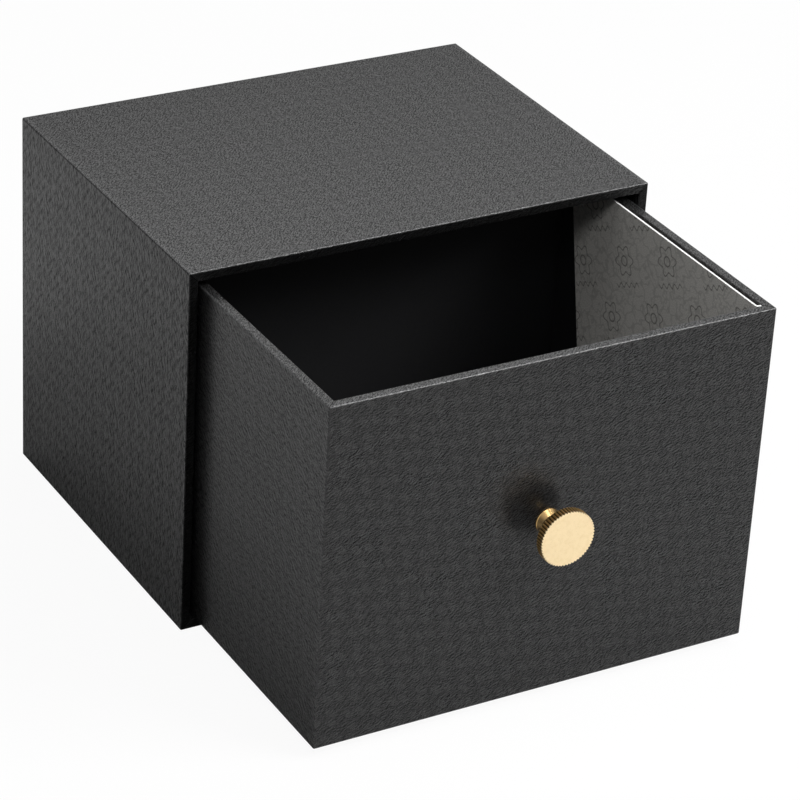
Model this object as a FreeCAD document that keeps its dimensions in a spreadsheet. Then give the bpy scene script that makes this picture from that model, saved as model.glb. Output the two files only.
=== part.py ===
import FreeCAD, Part
import os
import Sketcher

# Drawer photo box of rigid board: an open-fronted case and one drawer that slides in it.
# Frame: origin under the middle of the case, on the surface that it stands on. +Z is up, the
# mouth faces -Y, and the drawer stands pulled out towards -Y by rest_pull.

doc = FreeCAD.newDocument("DrawerPhotoBox")
sheet = doc.addObject("Spreadsheet::Sheet", "Sizes")

# Driving dimensions in millimetres, degrees or counts.
SIZES = (
    ("case_width", 172.0, "outside, left to right"),
    ("case_depth", 130.0, "outside, mouth to back"),
    ("case_height", 133.0, "outside, with the paper under the base"),
    ("board_thickness", 3.0, "greyboard of case and drawer"),
    ("board_edge_radius", 0.4, "softened outer edge of a board"),
    ("paper_thickness", 0.2, "covering, lining and base paper"),
    ("fold_radius", 0.35, "covering paper where it turns in at mouth and rim"),
    ("case_turn_in", 18.0, "covering paper inside the mouth"),
    ("drawer_turn_in", 15.0, "covering paper inside the rim"),
    ("paper_margin", 3.0, "folded border left round a pasted panel"),
    ("drawer_side_gap", 1.7, "drawer to case, each side"),
    ("drawer_top_gap", 3.0, "drawer to case, above"),
    ("drawer_floor_gap", 0.1, "drawer to case, below"),
    ("drawer_back_gap", 0.6, "drawer to case, behind, when shut"),
    ("rest_pull", 84.4, "how far the drawer stands out"),
    ("knob_stand_out", 12.4, "drawer front to knob face"),
    ("knob_head_diameter", 19.5, "over the knurl"),
    ("knob_head_thickness", 3.2, "knurled disc"),
    ("knob_head_chamfer", 0.3, "back edge of the disc"),
    ("knob_neck_diameter", 6.4, "between foot and head"),
    ("knob_neck_fillet", 1.0, "neck to foot"),
    ("knob_head_fillet", 1.4, "neck to head"),
    ("knob_foot_diameter", 9.0, "cone on the drawer front"),
    ("knob_foot_rim", 0.4, "straight edge of the cone"),
    ("knob_foot_height", 2.6, "cone with its rim"),
    ("knob_foot_round", 0.25, "rim to cone"),
    ("knob_rise", 2.6, "knob above the middle of the drawer front"),
    ("knurl_count", 56, "straight grooves round the head"),
    ("knurl_depth", 0.42, "depth of a groove"),
    ("screw_diameter", 4.0, "shank"),
    ("screw_length", 10.0, "under the head"),
    ("screw_tip_chamfer", 0.5, "end of the shank"),
    ("screw_head_diameter", 8.0, "pan head"),
    ("screw_head_height", 2.4, "pan head"),
    ("screw_head_round", 1.3, "crown of the pan head"),
    ("recess_length", 4.4, "across the cross recess"),
    ("recess_width", 0.9, "arm of the cross recess"),
    ("recess_depth", 1.3, "cross recess"),
    ("screw_hole_clearance", 0.25, "radial, in board, papers and washer"),
    ("thread_clearance", 0.05, "radial, in the knob's bore"),
    ("bore_end_clearance", 1.0, "beyond the screw's tip"),
    ("washer_diameter", 12.0, "outside"),
    ("washer_thickness", 0.8, "flat washer"),
    ("washer_edge_round", 0.2, "stamped edge"),
    ("card_thickness", 0.7, "pale printed card"),
    ("card_wall_gap", 1.4, "card to the drawer's right wall"),
    ("card_fold_radius", 0.3, "inside radius of the folded flange"),
    ("card_end_gap", 0.15, "card to front wall, and flange to right wall"),
    ("card_rim_drop", 0.2, "card's top edge below the rim"),
    ("card_back_gap", 7.25, "card's top edge to the drawer's back wall"),
    ("card_back_slant", 10.9, "back edge from upright, degrees"),
)
for row, (alias, value, note) in enumerate(SIZES, start=1):
    sheet.set(f"A{row}", alias)
    sheet.set(f"B{row}", str(value))
    sheet.setAlias(f"B{row}", alias)
    sheet.set(f"C{row}", note)
doc.recompute()

# Sizes that follow from the driving ones, as expressions on the sheet.
BOARD = "Sizes.board_thickness"
PAPER = "Sizes.paper_thickness"
WALL = f"({BOARD} + 2 * {PAPER})"
MARGIN = "Sizes.paper_margin"
BOARD_EDGE = "Sizes.board_edge_radius"
COVER_EDGE = f"({BOARD_EDGE} + {PAPER})"

# Case: outside of the covering paper, then the block of boards, then the space inside.
CASE_X = "Sizes.case_width"
CASE_Y = "Sizes.case_depth"
CASE_Z = f"(Sizes.case_height - {PAPER})"
CORE_X = f"({CASE_X} - 2 * {PAPER})"
CORE_Y = f"({CASE_Y} - 2 * {PAPER})"
CORE_Z = f"({CASE_Z} - 2 * {PAPER})"
CORE_BASE = f"(2 * {PAPER})"
BETWEEN_X = f"({CORE_X} - 2 * {BOARD})"
BETWEEN_Z = f"({CORE_Z} - 2 * {BOARD})"
BETWEEN_BASE = f"({CORE_BASE} + {BOARD})"
CAVITY_X = f"({CASE_X} - 2 * {WALL})"
CAVITY_Z = f"({CASE_Z} - 2 * {WALL})"
MOUTH = f"(-{CASE_Y} / 2)"
LINED_Y = f"({CASE_Y} - Sizes.case_turn_in - {PAPER} - {BOARD})"

# Drawer: outside, block of boards, space inside, and where they lie.
DRAWER_X = f"({CAVITY_X} - 2 * Sizes.drawer_side_gap)"
DRAWER_Y = f"({CASE_Y} - {WALL} - Sizes.drawer_back_gap)"
DRAWER_Z = f"({CAVITY_Z} - Sizes.drawer_floor_gap - Sizes.drawer_top_gap)"
SHELL_X = f"({DRAWER_X} - 2 * {PAPER})"
SHELL_Y = f"({DRAWER_Y} - 2 * {PAPER})"
SHELL_Z = f"({DRAWER_Z} - 2 * {PAPER})"
WITHIN_X = f"({SHELL_X} - 2 * {BOARD})"
WITHIN_Y = f"({SHELL_Y} - 2 * {BOARD})"
INSIDE_X = f"({DRAWER_X} - 2 * {WALL})"
INSIDE_Y = f"({DRAWER_Y} - 2 * {WALL})"
DRAWER_BASE = f"({PAPER} + {WALL} + Sizes.drawer_floor_gap)"
SHELL_BASE = f"({DRAWER_BASE} + {PAPER})"
WITHIN_BASE = f"({SHELL_BASE} + {BOARD})"
DRAWER_FLOOR = f"({DRAWER_BASE} + {WALL})"
DRAWER_FRONT = f"({MOUTH} - Sizes.rest_pull)"
DRAWER_MIDDLE = f"({DRAWER_FRONT} + {DRAWER_Y} / 2)"
DRAWER_BACK = f"({DRAWER_FRONT} + {DRAWER_Y})"
LINED_Z = f"({DRAWER_Z} - {PAPER} - {BOARD} - Sizes.drawer_turn_in)"

# Knob and its screw, on the drawer front's middle line.
KNOB_Z = f"({DRAWER_BASE} + {DRAWER_Z} / 2 + Sizes.knob_rise)"
HOLE_RADIUS = "(Sizes.screw_diameter / 2 + Sizes.screw_hole_clearance)"
BORE_RADIUS = "(Sizes.screw_diameter / 2 + Sizes.thread_clearance)"
GRIP = f"({WALL} + Sizes.washer_thickness)"
BORE_DEPTH = f"(Sizes.screw_length - {GRIP} + Sizes.bore_end_clearance)"

# Height of a drill's 118 degree point over its radius.
DRILL_POINT = f"(0.6 * {BORE_RADIUS})"

# Half size at which a sketch is drawn before its dimensions take over, and the distance within
# which an edge counts as lying on a side.
DRAWN = 5
TOUCH = 1e-5

nodes = []


def size(alias):
    """Value of a driving dimension."""
    return float(sheet.get(alias))


def new_body(label, place, turned=False, kept=True):
    """Add a body placed by three expressions; a turned one has its own Z along -Y."""
    body = doc.addObject("PartDesign::Body", label)
    body.Label = label
    if turned:
        body.Placement.Rotation = FreeCAD.Rotation(FreeCAD.Vector(1, 0, 0), 90)
    for axis, expression in zip("xyz", place):
        body.setExpression(f"Placement.Base.{axis}", expression)
    if kept:
        nodes.append(body)
    return body


def origin_part(body, role):
    """Plane or axis of a body's own origin."""
    return next(part for part in body.Origin.OriginFeatures if part.Role == role)


def sketch_on(body, name, role, offset="0", raised="0"):
    """Add a sketch to an origin plane, moved along its normal and raised in the plane."""
    sketch = body.newObject("Sketcher::SketchObject", name)
    sketch.AttachmentSupport = [(origin_part(body, role), "")]
    sketch.MapMode = "FlatFace"
    sketch.setExpression("AttachmentOffset.Base.z", offset)
    sketch.setExpression("AttachmentOffset.Base.y", raised)
    return sketch


def add_path(sketch, points):
    """Join points by lines into a closed path; return the number of its first line."""
    first = sketch.GeometryCount
    vectors = [FreeCAD.Vector(across, up, 0) for across, up in points]
    for start, end in zip(vectors, vectors[1:] + vectors[:1]):
        sketch.addGeometry(Part.LineSegment(start, end), False)
    for index in range(len(points)):
        after = first + (index + 1) % len(points)
        sketch.addConstraint(Sketcher.Constraint("Coincident", first + index, 2, after, 1))
    return first


def hold_square(sketch, level, upright):
    """Keep the named lines of a sketch level and upright."""
    for index in level:
        sketch.addConstraint(Sketcher.Constraint("Horizontal", index))
    for index in upright:
        sketch.addConstraint(Sketcher.Constraint("Vertical", index))


def dimension(sketch, kind, places, name, expression):
    """Add a named dimension between two points at its drawn value and bind it to the sheet."""
    start = sketch.getPoint(places[0], places[1])
    end = sketch.getPoint(places[2], places[3])
    drawn = end.x - start.x if kind == "DistanceX" else end.y - start.y
    index = sketch.addConstraint(Sketcher.Constraint(kind, *places, drawn))
    sketch.renameConstraint(index, name)
    sketch.setExpression(f"Constraints.{name}", expression)


def rectangle(sketch, width, height):
    """Rectangle centred on the sketch's origin."""
    corners = ((-DRAWN, -DRAWN), (DRAWN, -DRAWN), (DRAWN, DRAWN), (-DRAWN, DRAWN))
    first = add_path(sketch, corners)
    hold_square(sketch, (first, first + 2), (first + 1, first + 3))
    sketch.addConstraint(Sketcher.Constraint("Symmetric", first, 1, first + 2, 1, -1, 1))
    dimension(sketch, "DistanceX", (first, 1, first, 2), f"width{first}", width)
    dimension(sketch, "DistanceY", (first + 1, 1, first + 1, 2), f"height{first}", height)


def circle(sketch, radius):
    """Circle round the sketch's origin."""
    ring = Part.Circle(FreeCAD.Vector(0, 0, 0), FreeCAD.Vector(0, 0, 1), DRAWN)
    index = sketch.addGeometry(ring, False)
    sketch.addConstraint(Sketcher.Constraint("Coincident", index, 3, -1, 1))
    constraint = sketch.addConstraint(Sketcher.Constraint("Radius", index, DRAWN))
    sketch.renameConstraint(constraint, f"radius{index}")
    sketch.setExpression(f"Constraints.radius{index}", radius)


def pad(body, sketch, length, reverse=False):
    """Pad a sketch by a length on the sheet."""
    feature = body.newObject("PartDesign::Pad", "Pad")
    feature.Profile = sketch
    feature.Reversed = reverse
    feature.setExpression("Length", length)
    doc.recompute()


def pocket(body, sketch, length, reverse=False):
    """Cut a sketch into the body and check that it took something away."""
    before = body.Shape.Volume
    feature = body.newObject("PartDesign::Pocket", "Pocket")
    feature.Profile = sketch
    feature.Reversed = reverse
    feature.setExpression("Length", length)
    doc.recompute()
    if not body.Shape.Volume < before:
        raise ValueError(f"{body.Label}: {sketch.Label} cut nothing")
    return feature


def repeat(body, feature, count, angle):
    """Repeat a feature round the body's own Z axis."""
    pattern = body.newObject("PartDesign::PolarPattern", "PolarPattern")
    pattern.Originals = [feature]
    pattern.Axis = (origin_part(body, "Z_Axis"), [""])
    pattern.Angle = angle
    pattern.setExpression("Occurrences", count)
    body.Tip = pattern
    doc.recompute()


def sides_of(edge, box):
    """Names of the sides of a box that an edge lies on."""
    span = edge.BoundBox
    sides = (
        ("left", span.XMin, span.XMax, box.XMin),
        ("right", span.XMin, span.XMax, box.XMax),
        ("front", span.YMin, span.YMax, box.YMin),
        ("back", span.YMin, span.YMax, box.YMax),
        ("bottom", span.ZMin, span.ZMax, box.ZMin),
        ("top", span.ZMin, span.ZMax, box.ZMax),
    )
    return {name for name, low, high, at in sides if abs(low - at) < TOUCH and abs(high - at) < TOUCH}


def is_ring(edge, radius, height):
    """Whether an edge is a circle of this radius at this height on the body's own axis."""
    curve = edge.Curve
    round_edge = isinstance(curve, Part.Circle) and abs(curve.Radius - radius) < TOUCH
    return round_edge and abs(curve.Center.z - height) < TOUCH


def dress(body, kind, amount, wanted):
    """Fillet or chamfer the edges of the body's tip that pass a test."""
    base = body.Tip
    edges = enumerate(base.Shape.Edges, start=1)
    chosen = [f"Edge{number}" for number, edge in edges if wanted(edge)]
    if not chosen:
        raise ValueError(f"{body.Label}: no edge to dress")
    feature = body.newObject(f"PartDesign::{kind}", kind)
    feature.Base = (base, chosen)
    feature.setExpression("Radius" if kind == "Fillet" else "Size", amount)
    doc.recompute()


def round_sides(body, radius, wanted):
    """Fillet the edges whose sides of the body's box pass a test."""
    box = body.Tip.Shape.BoundBox
    dress(body, "Fillet", radius, lambda edge: wanted(sides_of(edge, box)))


def slab(label, extent, place, outer=(), kept=True):
    """Rectangular piece on the middle of its base, with the edges between outer sides softened."""
    body = new_body(label, place, kept=kept)
    outline = sketch_on(body, "Outline", "XY_Plane")
    rectangle(outline, extent[0], extent[1])
    pad(body, outline, extent[2])
    if outer:
        round_sides(body, BOARD_EDGE, lambda sides: len(sides & set(outer)) > 1)
    return body


def drill_screw_hole(body, depth, face, base):
    """Drill for the knob's screw from a face, towards the inside of the drawer."""
    hole = sketch_on(body, "ScrewHole", "XZ_Plane", face, f"{KNOB_Z} - {base}")
    circle(hole, HOLE_RADIUS)
    pocket(body, hole, depth)


def cut(label, base, tool):
    """Take one solid away from another, as a sub-part of its own."""
    result = doc.addObject("Part::Cut", label)
    result.Label = label
    result.Base = base
    result.Tool = tool
    nodes.append(result)
    doc.recompute()


# Case boards: top and bottom run over the sides, and the back stands between all four.
slab(
    "case_bottom_board",
    (CORE_X, CORE_Y, BOARD),
    ("0", "0", CORE_BASE),
    outer=("left", "right", "front", "back", "bottom"),
)
slab(
    "case_top_board",
    (CORE_X, CORE_Y, BOARD),
    ("0", "0", f"{BETWEEN_BASE} + {BETWEEN_Z}"),
    outer=("left", "right", "front", "back", "top"),
)
for side, sign in (("left", "-"), ("right", "")):
    slab(
        f"case_{side}_board",
        (BOARD, CORE_Y, BETWEEN_Z),
        (f"{sign}({CORE_X} - {BOARD}) / 2", "0", BETWEEN_BASE),
        outer=(side, "front", "back"),
    )
slab(
    "case_back_board",
    (BETWEEN_X, BOARD, BETWEEN_Z),
    ("0", f"({CORE_Y} - {BOARD}) / 2", BETWEEN_BASE),
)

# Case covering paper: what lies between the outside and the block of boards. It wraps the four
# walls, turns over the mouth's edges into the cavity, and leaves a window on the back.
outside = slab("CaseOutside", (CASE_X, CASE_Y, CASE_Z), ("0", "0", PAPER), kept=False)
mouth = sketch_on(outside, "Mouth", "XZ_Plane", f"{CASE_Y} / 2", f"{CASE_Z} / 2")
rectangle(mouth, CAVITY_X, CAVITY_Z)
pocket(outside, mouth, "Sizes.case_turn_in")
round_sides(outside, "Sizes.fold_radius", lambda sides: sides == {"front"})
round_sides(outside, COVER_EDGE, lambda sides: len(sides) > 1)
window = sketch_on(outside, "BackWindow", "XZ_Plane", f"-{CASE_Y} / 2", f"{CASE_Z} / 2")
rectangle(window, f"{CASE_X} - 2 * {MARGIN}", f"{CASE_Z} - 2 * {MARGIN}")
pocket(outside, window, PAPER, reverse=True)

boards = slab("CaseBoards", (CORE_X, CORE_Y, CORE_Z), ("0", "0", CORE_BASE), kept=False)
mouth = sketch_on(boards, "Mouth", "XZ_Plane", f"{CORE_Y} / 2", f"{CORE_Z} / 2")
rectangle(mouth, BETWEEN_X, BETWEEN_Z)
pocket(boards, mouth, f"Sizes.case_turn_in - {PAPER}")
round_sides(boards, BOARD_EDGE, lambda sides: len(sides) > 1)
cut("case_cover_paper", outside, boards)

slab(
    "case_back_paper",
    (f"{CASE_X} - 2 * {MARGIN}", PAPER, f"{CASE_Z} - 2 * {MARGIN}"),
    ("0", f"({CASE_Y} - {PAPER}) / 2", f"{PAPER} + {MARGIN}"),
)
slab(
    "case_base_paper",
    (f"{CASE_X} - 2 * {MARGIN}", f"{CASE_Y} - 2 * {MARGIN}", PAPER),
    ("0", "0", "0"),
)

# Case lining: a cup that starts where the turned-in paper ends and covers the back board.
lining = new_body("case_lining_paper", ("0", f"{MOUTH} + Sizes.case_turn_in", BETWEEN_BASE))
outline = sketch_on(lining, "Outline", "XZ_Plane", raised=f"{BETWEEN_Z} / 2")
rectangle(outline, BETWEEN_X, BETWEEN_Z)
pad(lining, outline, LINED_Y, reverse=True)
hollow = sketch_on(lining, "Hollow", "XZ_Plane", raised=f"{BETWEEN_Z} / 2")
rectangle(hollow, CAVITY_X, CAVITY_Z)
pocket(lining, hollow, f"{LINED_Y} - {PAPER}")

# Drawer boards: front and back run over the sides, and the floor lies inside the four.
front_board = slab(
    "drawer_front_board",
    (SHELL_X, BOARD, SHELL_Z),
    ("0", f"{DRAWER_FRONT} + {PAPER} + {BOARD} / 2", SHELL_BASE),
    outer=("left", "right", "front", "bottom", "top"),
)
drill_screw_hole(front_board, BOARD, f"{BOARD} / 2", SHELL_BASE)
slab(
    "drawer_back_board",
    (SHELL_X, BOARD, SHELL_Z),
    ("0", f"{DRAWER_BACK} - {PAPER} - {BOARD} / 2", SHELL_BASE),
    outer=("left", "right", "back", "bottom", "top"),
)
for side, sign in (("left", "-"), ("right", "")):
    slab(
        f"drawer_{side}_board",
        (BOARD, WITHIN_Y, SHELL_Z),
        (f"{sign}({SHELL_X} - {BOARD}) / 2", DRAWER_MIDDLE, SHELL_BASE),
        outer=(side, "bottom", "top"),
    )
slab("drawer_floor_board", (WITHIN_X, WITHIN_Y, BOARD), ("0", DRAWER_MIDDLE, SHELL_BASE))

# Drawer covering paper, made as the case's is, with the rim in place of the mouth.
outside = slab(
    "DrawerOutside",
    (DRAWER_X, DRAWER_Y, DRAWER_Z),
    ("0", DRAWER_MIDDLE, DRAWER_BASE),
    kept=False,
)
rim = sketch_on(outside, "Rim", "XY_Plane", DRAWER_Z)
rectangle(rim, INSIDE_X, INSIDE_Y)
pocket(outside, rim, "Sizes.drawer_turn_in")
round_sides(outside, "Sizes.fold_radius", lambda sides: sides == {"top"})
round_sides(outside, COVER_EDGE, lambda sides: len(sides) > 1)
window = sketch_on(outside, "BaseWindow", "XY_Plane")
rectangle(window, f"{DRAWER_X} - 2 * {MARGIN}", f"{DRAWER_Y} - 2 * {MARGIN}")
pocket(outside, window, PAPER, reverse=True)
drill_screw_hole(outside, WALL, f"{DRAWER_Y} / 2", DRAWER_BASE)

boards = slab(
    "DrawerBoards",
    (SHELL_X, SHELL_Y, SHELL_Z),
    ("0", DRAWER_MIDDLE, SHELL_BASE),
    kept=False,
)
rim = sketch_on(boards, "Rim", "XY_Plane", SHELL_Z)
rectangle(rim, WITHIN_X, WITHIN_Y)
pocket(boards, rim, f"Sizes.drawer_turn_in - {PAPER}")
round_sides(boards, BOARD_EDGE, lambda sides: len(sides) > 1)
cut("drawer_cover_paper", outside, boards)

slab(
    "drawer_base_paper",
    (f"{DRAWER_X} - 2 * {MARGIN}", f"{DRAWER_Y} - 2 * {MARGIN}", PAPER),
    ("0", DRAWER_MIDDLE, DRAWER_BASE),
)

# Drawer linings: a sleeve round the walls up to the turned-in paper, and a sheet on the floor.
sleeve = new_body("drawer_wall_lining", ("0", DRAWER_MIDDLE, WITHIN_BASE))
outline = sketch_on(sleeve, "Outline", "XY_Plane")
rectangle(outline, WITHIN_X, WITHIN_Y)
rectangle(outline, INSIDE_X, INSIDE_Y)
pad(sleeve, outline, LINED_Z)
drill_screw_hole(sleeve, BOARD, f"{WITHIN_Y} / 2", WITHIN_BASE)
slab("drawer_floor_lining", (INSIDE_X, INSIDE_Y, PAPER), ("0", DRAWER_MIDDLE, WITHIN_BASE))

# Side card: a pale card that stands along the right wall. Its front end is folded out into a
# narrow flange that keeps it off the wall, and its back edge slants.
CARD_Z = f"({DRAWER_Z} - {WALL} - Sizes.card_rim_drop)"
CARD_Y = f"({INSIDE_Y} - Sizes.card_end_gap - Sizes.card_back_gap)"
card = new_body(
    "side_card",
    (f"{INSIDE_X} / 2", f"{DRAWER_FRONT} + {WALL} + Sizes.card_end_gap", DRAWER_FLOOR),
)
profile = sketch_on(card, "Profile", "XY_Plane")
wall_side = -size("card_wall_gap")
room_side = wall_side - size("card_thickness")
flange_end = -size("card_end_gap")
flange_back = size("card_thickness")
card_back = size("case_depth")
first = add_path(
    profile,
    (
        (flange_end, 0),
        (room_side, 0),
        (room_side, card_back),
        (wall_side, card_back),
        (wall_side, flange_back),
        (flange_end, flange_back),
    ),
)
hold_square(profile, (first, first + 2, first + 4), (first + 1, first + 3, first + 5))
profile.addConstraint(Sketcher.Constraint("PointOnObject", first, 1, -1))
dimension(profile, "DistanceX", (first, 1, -1, 1), "flange_end", "Sizes.card_end_gap")
dimension(profile, "DistanceX", (first + 3, 1, -1, 1), "wall_gap", "Sizes.card_wall_gap")
dimension(profile, "DistanceX", (first + 2, 1, first + 2, 2), "leaf", "Sizes.card_thickness")
dimension(profile, "DistanceY", (first + 5, 2, first + 5, 1), "flange", "Sizes.card_thickness")
dimension(profile, "DistanceY", (first + 1, 1, first + 1, 2), "length", CARD_Y)
pad(card, profile, CARD_Z)
round_sides(card, "Sizes.card_fold_radius", lambda sides: not sides)
round_sides(
    card,
    "Sizes.card_fold_radius + Sizes.card_thickness",
    lambda sides: sides == {"left", "front"},
)
slant = sketch_on(card, "BackSlant", "YZ_Plane")
first = add_path(slant, ((card_back, 0), (card_back, card_back), (0, 0)))
slant.addConstraint(Sketcher.Constraint("Vertical", first))
slant.addConstraint(Sketcher.Constraint("PointOnObject", first, 1, -1))
slant.addConstraint(Sketcher.Constraint("PointOnObject", first + 2, 1, -1))
dimension(slant, "DistanceX", (-1, 1, first, 1), "length", CARD_Y)
dimension(slant, "DistanceY", (first, 1, first, 2), "height", CARD_Z)
dimension(
    slant,
    "DistanceX",
    (first + 2, 1, first, 1),
    "slanted",
    f"{CARD_Z} * tan(Sizes.card_back_slant * 1 deg)",
)
pocket(card, slant, "2 * (Sizes.card_wall_gap + Sizes.card_thickness)")

# Knob: turned foot, neck and head with a blind bore from behind. Its own Z runs out of the
# drawer front, and the knurl is a V groove repeated round the head.
knob = new_body("knob", ("0", DRAWER_FRONT, KNOB_Z), turned=True)
turning = sketch_on(knob, "Turning", "XZ_Plane")
bore_radius = size("screw_diameter") / 2
neck_radius = size("knob_neck_diameter") / 2
foot_radius = size("knob_foot_diameter") / 2
head_radius = size("knob_head_diameter") / 2
foot_rim = size("knob_foot_rim")
foot_front = size("knob_foot_height")
head_front = size("knob_stand_out")
head_back = head_front - size("knob_head_thickness")
first = add_path(
    turning,
    (
        (bore_radius, 0),
        (foot_radius, 0),
        (foot_radius, foot_rim),
        (neck_radius, foot_front),
        (neck_radius, head_back),
        (head_radius, head_back),
        (head_radius, head_front),
        (0, head_front),
        (0, head_back),
        (bore_radius, head_back / 2),
    ),
)
hold_square(
    turning,
    (first, first + 4, first + 6),
    (first + 1, first + 3, first + 5, first + 7, first + 9),
)
turning.addConstraint(Sketcher.Constraint("PointOnObject", first, 1, -1))
turning.addConstraint(Sketcher.Constraint("PointOnObject", first + 7, 1, -2))
dimension(turning, "DistanceX", (-1, 1, first, 1), "bore", BORE_RADIUS)
dimension(turning, "DistanceX", (-1, 1, first, 2), "foot", "Sizes.knob_foot_diameter / 2")
dimension(turning, "DistanceX", (-1, 1, first + 3, 1), "neck", "Sizes.knob_neck_diameter / 2")
dimension(turning, "DistanceX", (-1, 1, first + 5, 1), "head", "Sizes.knob_head_diameter / 2")
dimension(turning, "DistanceY", (-1, 1, first + 1, 2), "foot_rim", "Sizes.knob_foot_rim")
dimension(turning, "DistanceY", (-1, 1, first + 3, 1), "foot_front", "Sizes.knob_foot_height")
dimension(turning, "DistanceY", (-1, 1, first + 5, 2), "head_front", "Sizes.knob_stand_out")
dimension(turning, "DistanceY", (first + 5, 1, first + 5, 2), "disc", "Sizes.knob_head_thickness")
dimension(turning, "DistanceY", (-1, 1, first + 9, 1), "depth", BORE_DEPTH)
dimension(turning, "DistanceY", (first + 9, 1, first + 7, 2), "drill_point", DRILL_POINT)
turned = knob.newObject("PartDesign::Revolution", "Revolution")
turned.Profile = turning
turned.ReferenceAxis = (turning, ["V_Axis"])
turned.Angle = 360
doc.recompute()
dress(knob, "Fillet", "Sizes.knob_foot_round", lambda edge: is_ring(edge, foot_radius, foot_rim))
dress(knob, "Fillet", "Sizes.knob_neck_fillet", lambda edge: is_ring(edge, neck_radius, foot_front))
dress(knob, "Fillet", "Sizes.knob_head_fillet", lambda edge: is_ring(edge, neck_radius, head_back))
dress(knob, "Chamfer", "Sizes.knob_head_chamfer", lambda edge: is_ring(edge, head_radius, head_back))
groove = sketch_on(knob, "Groove", "XY_Plane", "Sizes.knob_stand_out")
groove_floor = head_radius - size("knurl_depth")
groove_mouth = groove_floor + DRAWN
first = add_path(groove, ((groove_floor, 0), (groove_mouth, -DRAWN), (groove_mouth, DRAWN)))
groove.addConstraint(Sketcher.Constraint("PointOnObject", first, 1, -1))
groove.addConstraint(Sketcher.Constraint("Symmetric", first + 1, 1, first + 1, 2, -1))
groove.addConstraint(Sketcher.Constraint("Perpendicular", first, first + 2))
dimension(
    groove,
    "DistanceX",
    (-1, 1, first, 1),
    "groove_floor",
    "Sizes.knob_head_diameter / 2 - Sizes.knurl_depth",
)
dimension(groove, "DistanceX", (first, 1, first + 1, 1), "groove_side", "1.5 * Sizes.knurl_depth")
repeat(knob, pocket(knob, groove, "Sizes.knob_head_thickness"), "Sizes.knurl_count", 360)

# Washer and screw, inside the drawer on the knob's axis.
SCREW_SEAT = f"({DRAWER_FRONT} + {GRIP})"
washer = new_body("knob_washer", ("0", SCREW_SEAT, KNOB_Z), turned=True)
outline = sketch_on(washer, "Outline", "XY_Plane")
circle(outline, "Sizes.washer_diameter / 2")
circle(outline, HOLE_RADIUS)
pad(washer, outline, "Sizes.washer_thickness")
washer_radius = size("washer_diameter") / 2
dress(washer, "Fillet", "Sizes.washer_edge_round", lambda edge: is_ring(edge, washer_radius, 0))

screw = new_body("knob_screw", ("0", SCREW_SEAT, KNOB_Z), turned=True)
shank = sketch_on(screw, "Shank", "XY_Plane")
circle(shank, "Sizes.screw_diameter / 2")
pad(screw, shank, "Sizes.screw_length")
head = sketch_on(screw, "Head", "XY_Plane")
circle(head, "Sizes.screw_head_diameter / 2")
pad(screw, head, "Sizes.screw_head_height", reverse=True)
shank_radius = size("screw_diameter") / 2
crown_radius = size("screw_head_diameter") / 2
crown = -size("screw_head_height")
dress(screw, "Fillet", "Sizes.screw_head_round", lambda edge: is_ring(edge, crown_radius, crown))
dress(
    screw,
    "Chamfer",
    "Sizes.screw_tip_chamfer",
    lambda edge: is_ring(edge, shank_radius, size("screw_length")),
)
recess = sketch_on(screw, "Recess", "XY_Plane", "-Sizes.screw_head_height")
rectangle(recess, "Sizes.recess_length", "Sizes.recess_width")
arm = pocket(screw, recess, "Sizes.recess_depth", reverse=True)
repeat(screw, arm, "2", 90)

doc.recompute()
for item in doc.Objects:
    if {"Invalid", "Error"} & set(item.State):
        raise ValueError(f"{item.Label} is {item.State}")
for node in nodes:
    if node.Shape.isNull() or not node.Shape.isValid():
        raise ValueError(f"{node.Label} has no valid shape")

os.makedirs("parts", exist_ok=True)
for node in nodes:
    node.Shape.exportStep(f"parts/{node.Label}.step")
    box = node.Shape.BoundBox
    print(
        f"{node.Label}: {len(node.Shape.Solids)} solid, {node.Shape.Volume:.1f} mm3, "
        f"X {box.XMin:.2f} {box.XMax:.2f}, Y {box.YMin:.2f} {box.YMax:.2f}, "
        f"Z {box.ZMin:.2f} {box.ZMax:.2f}"
    )
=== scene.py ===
"""Looks of a drawer photo box: rigid board under black embossed paper, one drawer, a turned knob.

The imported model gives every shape. This script dresses its papers, boards, card and metal parts,
and adds the studio round them. Lengths are in metres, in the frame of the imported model.
"""

import logging
import math
from dataclasses import dataclass
from enum import Enum

import bpy
from mathutils import Euler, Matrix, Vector

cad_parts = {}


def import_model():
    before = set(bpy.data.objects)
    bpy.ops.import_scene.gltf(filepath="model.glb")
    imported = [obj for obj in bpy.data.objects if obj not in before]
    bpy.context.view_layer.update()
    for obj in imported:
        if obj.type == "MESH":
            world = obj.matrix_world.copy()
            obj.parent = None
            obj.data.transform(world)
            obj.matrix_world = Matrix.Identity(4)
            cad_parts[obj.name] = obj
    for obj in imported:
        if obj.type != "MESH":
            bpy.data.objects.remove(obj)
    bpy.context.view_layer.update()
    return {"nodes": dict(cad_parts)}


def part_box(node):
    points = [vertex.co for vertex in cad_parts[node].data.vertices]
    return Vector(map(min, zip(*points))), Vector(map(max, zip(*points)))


LOG = logging.getLogger("photo_box")
MM = 0.001

Socket = bpy.types.NodeSocket
Colour = tuple[float, float, float]


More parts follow.
